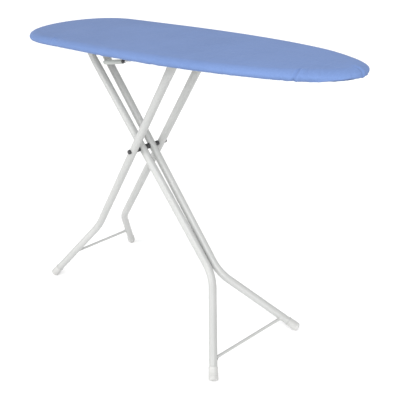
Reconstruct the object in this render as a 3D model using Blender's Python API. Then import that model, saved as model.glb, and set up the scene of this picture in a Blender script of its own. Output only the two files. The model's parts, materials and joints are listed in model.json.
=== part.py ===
"""Folding ironing board on a scissor frame: two pairs of bent steel tubes,
a perforated steel top with a felt pad and an elasticated cotton cover, and a
squeeze lever that works the height catch.

Metres, +Z up. The origin is on the floor under the middle of the board, and
the narrow nose of the board points along +X.
"""

from math import atan2, cos, pi, radians, sin, sqrt, tan

import bmesh
import bpy
from mathutils import Matrix, Vector

# ---------------------------------------------------------------- dimensions

GAP = 0.0003                    # clearance between pieces that touch

# Board outline, over the cover.
BOARD_LENGTH = 1.158
BOARD_WIDTH = 0.3284
TAIL_LENGTH = 0.2025            # rounded tail
TAIL_POWER = 2.36
NOSE_LENGTH = 0.7763            # long taper of the nose
NOSE_POWER = 2.278
NOSE_ROUND = 0.4364
OUTLINE_STEPS = 32              # steps from tail to nose on each side

# Offsets from the core outline, which lies TUCK inside the edge of the cover.
TUCK = 0.016
RIM_OFFSET = 0.0120
CORD_OFFSET = 0.0045
HEM_OFFSET = 0.0030
CORE_MARGIN = 0.006             # from the core outline in to the braces

# Heights of the board's layers.
TOP_Z = 0.833
PANEL_TOP_Z = 0.825
SHEET = 0.0008                  # steel sheet of the top
PANEL_UNDER_Z = PANEL_TOP_Z - SHEET
RIM_BOTTOM_Z = 0.8155
CORD_Z = 0.8141

# The cover's soft edge: a quarter ellipse over it and another under it.
EDGE_REACH = 0.022
EDGE_DROP = 0.0127
HEM_REACH = 0.010
HEM_DROP = 0.0085
CLOTH = 0.0008
CLOTH_TO_PAD = 0.0003

# Vents of the steel top.
VENT_PITCH_X = 0.066
VENT_PITCH_Y = 0.052
VENT_R = 0.009
VENT_MARGIN = 0.034             # from a vent's centre to the edge of the cover
VENT_LIMIT_X = 0.53

TAIL_BRACE_X = -0.470
NOSE_BRACE_X = 0.390
BRACE_FOOT = 0.022              # half lengths of the hat section along the board
BRACE_WEB = 0.011
BRACE_CROWN = 0.008
BRACE_DEPTH = 0.011
BRACE_SHEET = 0.001

# Scissor legs. Both pairs have the same lengths, so the board stays level.
LEG_ANGLE = radians(39.21)      # from the vertical
AXLE_X = -0.1628
AXLE_Z = 0.5153
PIN_Z = 0.797                   # hinge pin and slide rod
UPPER = (PIN_Z - AXLE_Z) / cos(LEG_ANGLE)
REACH = (PIN_Z - AXLE_Z) * tan(LEG_ANGLE)
HINGE_X = AXLE_X - REACH
SLIDE_X = AXLE_X + REACH
TUBE_R = 0.0111
TUBE_WALL = 0.0012
TUBE_SIDES = 16
BEND_RADIUS = 0.13
BEND_STEPS = 4

INNER_Y = 0.017                 # inner pair at the axle
INNER_TOE_IN = 0.0134           # the inner pair closes up towards the feet
INNER_BEND = 0.4121             # from the axle down to the bend
INNER_FOOT_Y = 0.168            # where the line of the foot meets the floor
INNER_ROD_AT = 0.81             # foot rod, as a share of the splayed foot

OUTER_Y = 0.0492
OUTER_BEND = 0.4097
OUTER_FOOT_Y = 0.1673
OUTER_ROD_AT = 0.56

FLAT_HALF_THICK = 0.0026        # pressed-flat tube ends
FLAT_HALF_HEIGHT = 0.0145
FLAT_LENGTH = 0.02              # fully flat from the pin down to here
FLAT_BLEND = 0.06               # back to round over this length
END_BEYOND_PIN = 0.014

PIN_R = 0.004
PIN_HOLE_R = 0.0043
FOOT_ROD_R = 0.004

CAP_R = 0.0126
CAP_LENGTH = 0.034
CAP_FLOOR = 0.003
CAP_FLAT = 0.0012               # depth of the worn flat that meets the floor

# Rails for the slide rod, under the board.
RAIL_Y = 0.0325
RAIL_THICK = 0.0016
RAIL_FLANGE = 0.016
RAIL_BOTTOM_Z = 0.7902
RAIL_TAIL_X = -0.017
RAIL_NOSE_X = 0.347
SLOT_HALF_HEIGHT = 0.0046
LOW_ANGLE = radians(33.0)       # legs at the highest setting
FOLDED_ANGLE = radians(87.0)    # legs folded
SLOT_TAIL_X = HINGE_X + 2 * UPPER * sin(LOW_ANGLE)
SLOT_NOSE_X = HINGE_X + 2 * UPPER * sin(FOLDED_ANGLE)
SLOT_PLAY = 0.001               # spare length at each end of the slot

# Hinge brackets of the inner legs.
BRACKET_Y = 0.0300
BRACKET_THICK = 0.002
BRACKET_HALF = 0.019
BRACKET_EAR_R = 0.011
BRACKET_FLANGE = 0.018

# Squeeze lever and catch.
SHAFT_X = -0.031
SHAFT_Z = 0.809
SHAFT_END_Y = 0.009
WIRE_R = 0.0025
LEVER_Y = -0.100
GRIP_TAIL = (-0.1725, 0.7741)   # x, z of the grip's free end
GRIP_NOSE = (-0.0825, 0.7870)
KNEE = (-0.0455, 0.7923)
SADDLE_R = 0.006                # lever brackets
SADDLE_THICK = 0.003
SADDLE_FLANGE = 0.013
GRIP_R = 0.0060
COLLAR_LENGTH = 0.012
LATCH_THICK = 0.002
TOOTH_PITCH = 0.0223
TEETH_BEFORE = 3                # notches above the present setting
TEETH_AFTER = 7
TOOTH_TIP_Z = PIN_Z - PIN_R - 0.0005
TOOTH_ROOT_Z = TOOTH_TIP_Z - 0.0065
LATCH_BOTTOM_Z = TOOTH_ROOT_Z - 0.0060

UP = Vector((0.0, 0.0, 1.0))
ACROSS = Vector((0.0, 1.0, 0.0))

# ------------------------------------------------------------------ helpers


def clear_scene():
    for item in list(bpy.data.objects):
        bpy.data.objects.remove(item, do_unlink=True)


def material(name, colour, roughness, metallic=0.0):
    made = bpy.data.materials.new(name)
    made.use_nodes = True
    shader = made.node_tree.nodes["Principled BSDF"]
    shader.inputs["Base Color"].default_value = (*colour, 1.0)
    shader.inputs["Roughness"].default_value = roughness
    shader.inputs["Metallic"].default_value = metallic
    return made


def add_object(name, mesh, look=None, parent=None, smooth=True):
    made = bpy.data.objects.new(name, mesh)
    bpy.context.scene.collection.objects.link(made)
    if look is not None:
        mesh.materials.append(look)
    if smooth:
        mesh.shade_smooth()
        mesh.set_sharp_from_angle(angle=radians(35))
    made.parent = parent
    return made


def new_mesh(name, bm):
    bmesh.ops.recalc_face_normals(bm, faces=bm.faces)
    mesh = bpy.data.meshes.new(name)
    bm.to_mesh(mesh)
    bm.free()
    return mesh


def bridge(bm, rings, closed=False):
    """Join rings of vertices, each to the next, with quads."""
    pairs = list(zip(rings, rings[1:]))
    if closed:
        pairs.append((rings[-1], rings[0]))
    for low, high in pairs:
        count = len(low)
        for i in range(count):
            j = (i + 1) % count
            bm.faces.new((low[i], low[j], high[j], high[i]))


def lofted(name, rings, closed=False):
    """A solid skinned over rings of points, with its ends filled."""
    bm = bmesh.new()
    made = [[bm.verts.new(point) for point in ring] for ring in rings]
    bridge(bm, made, closed)
    if not closed:
        bm.faces.new(made[0])
        bm.faces.new(made[-1])
    return new_mesh(name, bm)


def ring_at(centre, along, radius_a, radius_b, axis_a, sides, phase=0.0):
    """An ellipse about centre, square to along."""
    side_a = (axis_a - along * axis_a.dot(along)).normalized()
    side_b = along.cross(side_a)
    points = []
    for i in range(sides):
        turn = 2 * pi * i / sides + phase
        points.append(centre + side_a * (radius_a * cos(turn)) + side_b * (radius_b * sin(turn)))
    return points


def rod_between(name, start, end, radius, sides=16):
    start = Vector(start)
    end = Vector(end)
    along = (end - start).normalized()
    helper = UP if abs(along.z) < 0.9 else ACROSS
    rings = [ring_at(p, along, radius, radius, helper, sides) for p in (start, end)]
    return lofted(name, rings)


def turned(name, base, axis, profile, sides=20):
    """A solid turned about an axis. profile lists (distance along, radius) and
    is closed on itself, so it may have a bore."""
    base = Vector(base)
    axis = Vector(axis).normalized()
    helper = UP if abs(axis.z) < 0.9 else Vector((1.0, 0.0, 0.0))
    bm = bmesh.new()
    rings = []
    for along, radius in profile:
        ring = ring_at(base + axis * along, axis, radius, radius, helper, sides)
        rings.append([bm.verts.new(point) for point in ring])
    bridge(bm, rings, closed=True)
    return new_mesh(name, bm)


def sleeve(name, start, end, inner, outer, sides=16, chamfer=0.0006):
    """A plain bush with a bore and slightly broken outer edges."""
    length = (Vector(end) - Vector(start)).length
    profile = [
        (0.0, inner),
        (0.0, outer - chamfer),
        (chamfer, outer),
        (length - chamfer, outer),
        (length, outer - chamfer),
        (length, inner),
    ]
    return turned(name, start, Vector(end) - Vector(start), profile, sides)


def prism(name, outline, y_low, y_high):
    """A plate: an outline of (x, z) points, from y_low to y_high."""
    rings = [[(x, y, z) for x, z in outline] for y in (y_low, y_high)]
    return lofted(name, rings)


def box(name, low, high):
    bm = bmesh.new()
    bmesh.ops.create_cube(bm, size=1.0)
    size = Vector(high) - Vector(low)
    middle = (Vector(high) + Vector(low)) / 2
    bmesh.ops.scale(bm, vec=size, verts=bm.verts)
    bmesh.ops.translate(bm, vec=middle, verts=bm.verts)
    return new_mesh(name, bm)


def joined(name, meshes):
    """Several separate closed shapes in one mesh."""
    bm = bmesh.new()
    for mesh in meshes:
        bm.from_mesh(mesh)
        bpy.data.meshes.remove(mesh)
    made = bpy.data.meshes.new(name)
    bm.to_mesh(made)
    bm.free()
    return made


def cutter(name, mesh):
    made = add_object(name, mesh, smooth=False)
    made.hide_render = True
    made.display_type = "WIRE"
    return made


def boolean(target, tool, operation="DIFFERENCE"):
    change = target.modifiers.new(tool.name, "BOOLEAN")
    change.operation = operation
    change.solver = "EXACT"
    change.object = tool


def arc(centre, radius, start, end, steps):
    """Points (x, z) on an arc about centre."""
    points = []
    for i in range(steps + 1):
        turn = start + (end - start) * i / steps
        points.append((centre[0] + radius * cos(turn), centre[1] + radius * sin(turn)))
    return points


def frame_empty(name, x, z, turn):
    """An empty on a joint axis, turned about Y so that the leg runs down its -Z."""
    made = bpy.data.objects.new(name, None)
    bpy.context.scene.collection.objects.link(made)
    made.matrix_world = Matrix.Translation((x, 0.0, z)) @ Matrix.Rotation(turn, 4, "Y")
    return made


# ------------------------------------------------------------ board outline


def half_width(x):
    """Half the width over the cover at x."""
    half_length = BOARD_LENGTH / 2
    tail = min(max((TAIL_LENGTH - half_length - x) / TAIL_LENGTH, 0.0), 1.0)
    nose = min(max((x + NOSE_LENGTH - half_length) / NOSE_LENGTH, 0.0), 1.0)
    widest = BOARD_WIDTH / 2
    return widest * sqrt(1 - tail**TAIL_POWER) * (1 - nose**NOSE_POWER) ** NOSE_ROUND


def board_edge():
    """Points and outward normals of the cover's edge, from the tail round."""
    points = []
    for i in range(2 * OUTLINE_STEPS):
        x = -BOARD_LENGTH / 2 * cos(pi * i / OUTLINE_STEPS)
        side = -1 if i < OUTLINE_STEPS else 1
        points.append(Vector((x, side * half_width(x), 0.0)))
    normals = []
    for i, point in enumerate(points):
        chord = points[(i + 1) % len(points)] - points[i - 1]
        normals.append(Vector((chord.y, -chord.x, 0.0)).normalized())
    return points, normals


def outline(offset, z):
    """The core outline grown by offset, at height z."""
    points, normals = board_edge()
    return [p + n * (offset - TUCK) + UP * z for p, n in zip(points, normals)]


def edge_profile(inset, top_steps=5, under_steps=3):
    """(offset, z) points down the cover's soft edge, moved inwards by inset."""
    points = []
    for i in range(top_steps + 1):
        turn = pi / 2 * i / top_steps
        normal = Vector((sin(turn) / EDGE_REACH, cos(turn) / EDGE_DROP)).normalized()
        offset = TUCK - EDGE_REACH * (1 - sin(turn))
        z = TOP_Z - EDGE_DROP * (1 - cos(turn))
        points.append((offset - normal.x * inset, z - normal.y * inset))
    for i in range(1, under_steps + 1):
        turn = pi / 2 * i / under_steps
        normal = Vector((cos(turn) / HEM_REACH, -sin(turn) / HEM_DROP)).normalized()
        offset = TUCK - HEM_REACH * (1 - cos(turn))
        z = TOP_Z - EDGE_DROP - HEM_DROP * sin(turn)
        points.append((offset - normal.x * inset, z - normal.y * inset))
    return points


# ----------------------------------------------------------------- the board


def build_panel(looks):
    """Perforated steel sheet with a folded-down rim."""
    inner = RIM_OFFSET - SHEET
    rings = [
        outline(RIM_OFFSET, PANEL_TOP_Z),
        outline(RIM_OFFSET, RIM_BOTTOM_Z),
        outline(inner, RIM_BOTTOM_Z),
        outline(inner, PANEL_UNDER_Z),
    ]
    panel = add_object("top_panel", lofted("top_panel", rings), looks["frame"], smooth=False)
    holes = []
    columns = int(BOARD_LENGTH / VENT_PITCH_X)
    for column in range(-columns // 2, columns // 2 + 1):
        x = column * VENT_PITCH_X
        shift = VENT_PITCH_Y / 2 if column % 2 else 0.0
        for row in range(-3, 4):
            y = row * VENT_PITCH_Y + shift
            if abs(x) > VENT_LIMIT_X or abs(y) + VENT_MARGIN > half_width(x):
                continue
            low = (x, y, PANEL_UNDER_Z - 0.002)
            high = (x, y, PANEL_TOP_Z + 0.002)
            holes.append(rod_between("vent", low, high, VENT_R, 6))
    boolean(panel, cutter("vent_cutter", joined("vents", holes)))


def build_pad(looks):
    """Felt pad on the steel top, tapering to nothing at the soft edge."""
    surface = edge_profile(CLOTH + CLOTH_TO_PAD)
    bottom = PANEL_TOP_Z + GAP
    profile = [(offset, z) for offset, z in surface if z > bottom]
    profile.append((profile[-1][0] + 0.001, bottom))
    rings = [outline(offset, z) for offset, z in profile]
    add_object("pad", lofted("pad", rings), looks["pad"])


def build_cover(looks):
    """Cotton cover: over the pad, down the edge and tucked in under the board."""
    outside = edge_profile(0.0) + [(HEM_OFFSET, TOP_Z - EDGE_DROP - HEM_DROP)]
    inside = edge_profile(CLOTH) + [(HEM_OFFSET, TOP_Z - EDGE_DROP - HEM_DROP + CLOTH)]
    rings = [outline(offset, z) for offset, z in outside + inside[::-1]]
    add_object("cover", lofted("cover", rings), looks["cover"])


def build_hem_cord(looks):
    """Elastic cord lying in the fold of the hem, all the way round."""
    radius = 0.0012
    centre = outline(CORD_OFFSET, CORD_Z)
    count = len(centre)
    rings = []
    for i, point in enumerate(centre):
        along = (centre[(i + 1) % count] - centre[i - 1]).normalized()
        rings.append(ring_at(point, along, radius, radius, UP, 6))
    add_object("hem_cord", lofted("hem_cord", rings, closed=True), looks["elastic"])


def build_brace(looks, name, x):
    """A hat-shaped stiffener across the underside."""
    narrowest = min(half_width(x - BRACE_FOOT), half_width(x + BRACE_FOOT))
    half = narrowest - TUCK - CORE_MARGIN
    top = PANEL_UNDER_Z - GAP
    outside = [
        (-BRACE_FOOT, 0.0),
        (-BRACE_FOOT, BRACE_SHEET),
        (-BRACE_WEB, BRACE_SHEET),
        (-BRACE_CROWN, BRACE_DEPTH),
        (BRACE_CROWN, BRACE_DEPTH),
        (BRACE_WEB, BRACE_SHEET),
        (BRACE_FOOT, BRACE_SHEET),
        (BRACE_FOOT, 0.0),
    ]
    inside = [
        (BRACE_WEB - BRACE_SHEET, 0.0),
        (BRACE_CROWN - BRACE_SHEET, BRACE_DEPTH - BRACE_SHEET),
        (BRACE_SHEET - BRACE_CROWN, BRACE_DEPTH - BRACE_SHEET),
        (BRACE_SHEET - BRACE_WEB, 0.0),
    ]
    section = [(x + along, top - deep) for along, deep in outside + inside]
    add_object(name, prism(name, section, -half, half), looks["frame"], smooth=False)


def build_rail(looks, name, side):
    """A slotted side rail of angle section that guides one end of the slide rod."""
    top = PANEL_UNDER_Z - GAP
    outer_y = RAIL_Y + RAIL_THICK
    section = [
        (outer_y, top),
        (outer_y - RAIL_FLANGE, top),
        (outer_y - RAIL_FLANGE, top - RAIL_THICK),
        (RAIL_Y, top - RAIL_THICK),
        (RAIL_Y, RAIL_BOTTOM_Z),
        (outer_y, RAIL_BOTTOM_Z),
    ]
    rings = [[(x, side * y, z) for y, z in section] for x in (RAIL_TAIL_X, RAIL_NOSE_X)]
    rail = add_object(name, lofted(name, rings), looks["frame"], smooth=False)
    slot = arc((SLOT_TAIL_X - SLOT_PLAY, PIN_Z), SLOT_HALF_HEIGHT, pi / 2, 3 * pi / 2, 6)
    slot += arc((SLOT_NOSE_X + SLOT_PLAY, PIN_Z), SLOT_HALF_HEIGHT, -pi / 2, pi / 2, 6)
    low, high = sorted((side * (RAIL_Y - 0.002), side * (outer_y + 0.002)))
    boolean(rail, cutter(name + "_slot", prism("slot", slot, low, high)))


def build_hinge_bracket(looks, name, side, holes):
    """An angle bracket that holds the hinge pin of the inner legs."""
    top = PANEL_UNDER_Z - GAP
    ear = arc((HINGE_X, PIN_Z), BRACKET_EAR_R, pi, 2 * pi, 8)
    ear += [(HINGE_X + BRACKET_HALF, top), (HINGE_X - BRACKET_HALF, top)]
    low, high = sorted((side * BRACKET_Y, side * (BRACKET_Y + BRACKET_THICK)))
    bracket = add_object(name, prism(name, ear, low, high), looks["frame"], smooth=False)
    low, high = sorted((side * (BRACKET_Y + BRACKET_THICK / 2), side * (BRACKET_Y + BRACKET_FLANGE)))
    flange = box(
        "flange",
        (HINGE_X - BRACKET_HALF, low, top - BRACKET_THICK),
        (HINGE_X + BRACKET_HALF, high, top),
    )
    boolean(bracket, cutter(name + "_flange", flange), "UNION")
    boolean(bracket, holes)


def build_lever_bracket(looks, name, y):
    """A saddle that carries the lever's shaft."""
    top = PANEL_UNDER_Z - GAP
    cheek = arc((SHAFT_X, SHAFT_Z), SADDLE_R, pi, 2 * pi, 8)
    cheek += [(SHAFT_X + SADDLE_R, top), (SHAFT_X - SADDLE_R, top)]
    bracket = add_object(name, prism(name, cheek, y, y + SADDLE_THICK), looks["frame"], smooth=False)
    flange = box(
        "flange",
        (SHAFT_X - SADDLE_R, y + SADDLE_THICK / 2, top - SADDLE_THICK / 2),
        (SHAFT_X + SADDLE_R, y + SADDLE_FLANGE, top),
    )
    boolean(bracket, cutter(name + "_flange", flange), "UNION")
    ends = [(SHAFT_X, y + reach, SHAFT_Z) for reach in (-0.002, SADDLE_FLANGE + 0.003)]
    boolean(bracket, cutter(name + "_hole", rod_between("hole", *ends, WIRE_R + GAP, 12)))


def build_spring(looks):
    """Torsion spring wound round the lever's shaft, with two straight tails."""
    coil_r = 0.0046
    wire_r = 0.0006
    turns = 5
    steps = 8
    start_y = -0.052
    pitch = 0.0016
    points = [Vector((SHAFT_X - 0.018, start_y, PANEL_UNDER_Z - 0.0012))]
    for i in range(turns * steps + 1):
        turn = pi / 2 + 2 * pi * i / steps
        y = start_y + pitch * i / steps
        points.append(Vector((SHAFT_X + coil_r * cos(turn), y, SHAFT_Z + coil_r * sin(turn))))
    points.append(Vector((SHAFT_X + 0.018, start_y + pitch * turns, PANEL_UNDER_Z - 0.0012)))
    rings = []
    for i, point in enumerate(points):
        before = points[max(i - 1, 0)]
        after = points[min(i + 1, len(points) - 1)]
        rings.append(ring_at(point, (after - before).normalized(), wire_r, wire_r, ACROSS, 5))
    add_object("return_spring", lofted("return_spring", rings), looks["steel"])


def build_rivets(looks):
    """Round-headed rivets under the rail and hinge bracket flanges."""
    under_rail = PANEL_UNDER_Z - GAP - RAIL_THICK - GAP
    under_bracket = PANEL_UNDER_Z - GAP - BRACKET_THICK - GAP
    for label, side in (("near", -1), ("far", 1)):
        for i, x in enumerate((RAIL_TAIL_X + 0.012, 0.132, RAIL_NOSE_X - 0.050), 1):
            seat = (x, side * (RAIL_Y + RAIL_THICK - 0.009), under_rail)
            build_rivet(looks, f"rail_rivet_{label}_{i}", seat)
        for i, x in enumerate((HINGE_X - 0.012, HINGE_X + 0.012), 1):
            build_rivet(looks, f"hinge_rivet_{label}_{i}", (x, side * 0.041, under_bracket))


def build_rivet(looks, name, seat):
    rings = []
    for drop, radius in ((0.0, 0.0036), (0.0009, 0.0033), (0.0017, 0.0018)):
        centre = Vector(seat) - UP * drop
        rings.append(ring_at(centre, -UP, radius, radius, ACROSS, 10))
    add_object(name, lofted(name, rings), looks["steel"])


# ------------------------------------------------------------------ the legs


class LegTube:
    """The path of one bent tube in its leg's frame: x across the leg's plane
    (zero), y outwards, z up along the leg."""

    def __init__(self, top_z, axle_z, axle_y, toe_in, bend_at, foot_y, side):
        lower = AXLE_Z / cos(LEG_ANGLE)
        self.side = side
        self.top_z = top_z
        self.axle_z = axle_z
        self.axle_y = axle_y
        self.toe_in = toe_in
        self.bend_z = axle_z - bend_at
        self.bend_y = axle_y - toe_in * bend_at
        self.splay = atan2(foot_y - self.bend_y, lower - bend_at)
        steepness = cos(self.splay) * cos(LEG_ANGLE)
        rise = CAP_R * sqrt(1 - steepness**2) - CAP_FLAT
        end_z = axle_z - lower + rise / cos(LEG_ANGLE)
        self.foot_length = (self.bend_z - end_z) / cos(self.splay)

    def straight(self, z):
        """Centre of the straight part at height z."""
        return Vector((0.0, self.side * (self.axle_y + self.toe_in * (z - self.axle_z)), z))

    def foot_direction(self):
        return Vector((0.0, self.side * sin(self.splay), -cos(self.splay)))

    def foot_point(self, distance):
        """Centre of the splayed foot, at a distance beyond the bend's corner."""
        corner = Vector((0.0, self.side * self.bend_y, self.bend_z))
        return corner + self.foot_direction() * distance

    def cap_end(self):
        return self.foot_point(self.foot_length)

    def rings(self, radius, end_short, from_z=None):
        """Rings of the tube from its flattened top to its foot, at a radius."""
        straight_dir = (self.straight(self.top_z - 1.0) - self.straight(self.top_z)).normalized()
        turn = self.splay + atan2(self.toe_in, 1.0)
        tangent = BEND_RADIUS * tan(turn / 2)
        stations = []
        for z, flat, shrink in self.flat_stations():
            if from_z is None or z <= from_z:
                stations.append((self.straight(z), straight_dir, flat, shrink))
        corner = self.foot_point(0.0)
        start = corner - straight_dir * tangent
        if from_z is not None:
            stations.append((self.straight(from_z), straight_dir, 0.0, 1.0))
        outward = Vector((0.0, self.side, 0.0))
        centre_dir = (outward - straight_dir * outward.dot(straight_dir)).normalized()
        centre = start + centre_dir * BEND_RADIUS
        for i in range(BEND_STEPS + 1):
            angle = turn * i / BEND_STEPS
            point = centre - centre_dir * (BEND_RADIUS * cos(angle))
            point += straight_dir * (BEND_RADIUS * sin(angle))
            along = straight_dir * cos(angle) + centre_dir * sin(angle)
            stations.append((point, along, 0.0, 1.0))
        stations.append((self.foot_point(self.foot_length - end_short), self.foot_direction(), 0.0, 1.0))
        rings = []
        for point, along, flat, shrink in stations:
            thick = radius + (FLAT_HALF_THICK - radius) * flat
            tall = (radius + (FLAT_HALF_HEIGHT - radius) * flat) * shrink
            rings.append(ring_at(point, along, thick, tall, ACROSS, TUBE_SIDES))
        return rings

    def flat_stations(self):
        """(z, flatness, height factor) down the pressed end to the round tube."""
        pin = self.top_z - END_BEYOND_PIN
        stations = [(self.top_z, 1.0, 0.55), (self.top_z - 0.005, 1.0, 0.92), (pin, 1.0, 1.0)]
        stations.append((pin - FLAT_LENGTH, 1.0, 1.0))
        for i in range(1, 5):
            share = i / 4
            ease = 1 - share * share * (3 - 2 * share)
            stations.append((pin - FLAT_LENGTH - FLAT_BLEND * share, ease, 1.0))
        return stations


def build_tube(looks, name, path, empty, holes):
    """A hollow bent tube: pressed flat and closed at the top, open at the foot."""
    end_short = CAP_FLOOR + GAP
    outer = path.rings(TUBE_R, end_short)
    hollow_from = path.top_z - END_BEYOND_PIN - FLAT_LENGTH - FLAT_BLEND - 0.004
    inner = path.rings(TUBE_R - TUBE_WALL, end_short, hollow_from)
    mesh = lofted(name, outer + inner[::-1])
    tube = add_object(name, mesh, looks["white"], empty)
    boolean(tube, holes)


def build_cap(looks, name, path, empty, ground):
    """A plastic cup over the end of a tube, with a small flat on the floor."""
    end = path.cap_end()
    up_tube = -path.foot_direction()
    bore = TUBE_R + GAP
    profile = [
        (0.0, 0.0008),
        (0.0, CAP_R - 0.0008),
        (0.0010, CAP_R),
        (CAP_LENGTH - 0.001, CAP_R - 0.0002),
        (CAP_LENGTH, CAP_R - 0.0008),
        (CAP_LENGTH, bore),
        (CAP_FLOOR, bore),
        (CAP_FLOOR, 0.0008),
    ]
    cap = add_object(name, turned(name, end, up_tube, profile, 16), looks["cap"], empty)
    boolean(cap, ground)


def build_foot_rod(looks, name, near, far, share, empty):
    """The rod welded across between two feet, its ends coped to the tubes."""
    start = near.foot_point(near.foot_length * share)
    end = far.foot_point(far.foot_length * share)
    rod = add_object(name, rod_between(name, start, end, FOOT_ROD_R, 12), looks["white"], empty)
    for label, path, point in (("near", near, start), ("far", far, end)):
        along = path.foot_direction()
        low = point - along * 0.03
        high = point + along * 0.03
        tool = cutter(f"{name}_{label}_cope", rod_between("cope", low, high, TUBE_R + GAP, TUBE_SIDES))
        tool.parent = empty
        boolean(rod, tool)


def build_pin_holes():
    """A cutter for the holes that the hinge pin, slide rod and axle pass through."""
    pins = []
    for x, z in ((HINGE_X, PIN_Z), (SLIDE_X, PIN_Z), (AXLE_X, AXLE_Z)):
        pins.append(rod_between("pin_hole", (x, -0.1, z), (x, 0.1, z), PIN_HOLE_R, 16))
    return cutter("pin_holes", joined("pin_holes", pins))


def build_legs(looks, holes):
    inner_frame = frame_empty("inner_leg_frame", HINGE_X, PIN_Z, -LEG_ANGLE)
    outer_frame = frame_empty("outer_leg_frame", AXLE_X, AXLE_Z, LEG_ANGLE)
    ground = cutter("ground", box("ground", (-1.0, -0.4, -0.05), (1.0, 0.4, 0.0)))
    inner = {}
    outer = {}
    for label, side in (("near", -1), ("far", 1)):
        inner[label] = LegTube(END_BEYOND_PIN, -UPPER, INNER_Y, INNER_TOE_IN, INNER_BEND, INNER_FOOT_Y, side)
        outer[label] = LegTube(UPPER + END_BEYOND_PIN, 0.0, OUTER_Y, 0.0, OUTER_BEND, OUTER_FOOT_Y, side)
        build_tube(looks, f"inner_leg_{label}", inner[label], inner_frame, holes)
        build_tube(looks, f"outer_leg_{label}", outer[label], outer_frame, holes)
        build_cap(looks, f"inner_foot_cap_{label}", inner[label], inner_frame, ground)
        build_cap(looks, f"outer_foot_cap_{label}", outer[label], outer_frame, ground)
    build_foot_rod(looks, "inner_foot_rod", inner["near"], inner["far"], INNER_ROD_AT, inner_frame)
    build_foot_rod(looks, "outer_foot_rod", outer["near"], outer["far"], OUTER_ROD_AT, outer_frame)


# ----------------------------------------------------- axle, pins and bushes


def build_axle(looks):
    """The axle through all four tubes, with its spacers and end caps."""
    inner_in = INNER_Y - TUBE_R - 2 * GAP
    inner_out = INNER_Y + TUBE_R + 2 * GAP
    outer_in = OUTER_Y - TUBE_R - GAP
    outer_out = OUTER_Y + TUBE_R + GAP
    cap_end = outer_out + 0.0075
    half = cap_end - 0.0022
    rod = rod_between("axle", (AXLE_X, -half, AXLE_Z), (AXLE_X, half, AXLE_Z), PIN_R, 16)
    add_object("axle", rod, looks["steel"])
    bore = PIN_R + GAP
    centre = sleeve("centre_spacer", (AXLE_X, -inner_in, AXLE_Z), (AXLE_X, inner_in, AXLE_Z), bore, 0.0082)
    add_object("centre_spacer", centre, looks["black"])
    for label, side in (("near", -1), ("far", 1)):
        start = (AXLE_X, side * inner_out, AXLE_Z)
        end = (AXLE_X, side * outer_in, AXLE_Z)
        name = f"side_spacer_{label}"
        add_object(name, sleeve(name, start, end, bore, 0.0072), looks["black"])
        build_end_cap(looks, f"axle_cap_{label}", AXLE_X, side * outer_out, side * cap_end, AXLE_Z, 0.0068)


def build_end_cap(looks, name, x, y_start, y_end, z, radius):
    """A domed push-on cap over the end of a rod along Y."""
    length = abs(y_end - y_start)
    axis = (0.0, 1.0 if y_end > y_start else -1.0, 0.0)
    bore = PIN_R + GAP
    depth = length - 0.0019
    profile = [
        (0.0, bore),
        (0.0, radius),
        (length - 0.002, radius),
        (length, radius - 0.0022),
        (length, 0.0008),
        (depth, 0.0008),
        (depth, bore),
    ]
    add_object(name, turned(name, (x, y_start, z), axis, profile, 12), looks["black"])


def build_hinge_pin(looks):
    bracket_out = BRACKET_Y + BRACKET_THICK + GAP
    cap_end = bracket_out + 0.0087
    half = cap_end - 0.0025
    rod = rod_between("hinge_pin", (HINGE_X, -half, PIN_Z), (HINGE_X, half, PIN_Z), PIN_R, 16)
    add_object("hinge_pin", rod, looks["steel"])
    top_y = INNER_Y + INNER_TOE_IN * UPPER
    inside = top_y - FLAT_HALF_THICK - 3 * GAP
    bore = PIN_R + GAP
    tube = sleeve("hinge_spacer", (HINGE_X, -inside, PIN_Z), (HINGE_X, inside, PIN_Z), bore, 0.0062, 16)
    add_object("hinge_spacer", tube, looks["black"])
    for label, side in (("near", -1), ("far", 1)):
        name = f"hinge_cap_{label}"
        build_end_cap(looks, name, HINGE_X, side * bracket_out, side * cap_end, PIN_Z, 0.0066)


def build_slide_rod(looks):
    """The outer legs' top rod, which slides in the slots of the two rails."""
    inside = OUTER_Y + FLAT_HALF_THICK + GAP
    outside = inside + 0.0090
    half = outside - 0.0024
    rod = rod_between("slide_rod", (SLIDE_X, -half, PIN_Z), (SLIDE_X, half, PIN_Z), PIN_R, 16)
    add_object("slide_rod", rod, looks["steel"])
    for label, side in (("near", -1), ("far", 1)):
        name = f"slide_cap_{label}"
        build_end_cap(looks, name, SLIDE_X, side * inside, side * outside, PIN_Z, 0.0080)


# --------------------------------------------------------- the height lever


def grip_axis():
    """The free end of the grip and the unit vector towards the shaft."""
    tail = Vector((GRIP_TAIL[0], LEVER_Y, GRIP_TAIL[1]))
    nose = Vector((GRIP_NOSE[0], LEVER_Y, GRIP_NOSE[1]))
    return tail, nose, (nose - tail).normalized()


def build_lever_wire(looks):
    """One bent wire: out of the grip, up to the shaft and across the board."""
    tail, nose, along = grip_axis()
    knee = Vector((KNEE[0], LEVER_Y, KNEE[1]))
    elbow = Vector((SHAFT_X, LEVER_Y, SHAFT_Z))
    shaft_end = Vector((SHAFT_X, SHAFT_END_Y, SHAFT_Z))
    points = [tail + along * 0.012, nose]
    points += rounded_corner(nose, knee, elbow, 0.012)
    points += rounded_corner(knee, elbow, shaft_end, 0.008)
    points.append(shaft_end)
    rings = []
    for i, point in enumerate(points):
        before = points[max(i - 1, 0)]
        after = points[min(i + 1, len(points) - 1)]
        helper = Vector((1.0, 2.0, 6.0))
        rings.append(ring_at(point, (after - before).normalized(), WIRE_R, WIRE_R, helper, 10))
    add_object("lever_wire", lofted("lever_wire", rings), looks["steel"])


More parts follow.
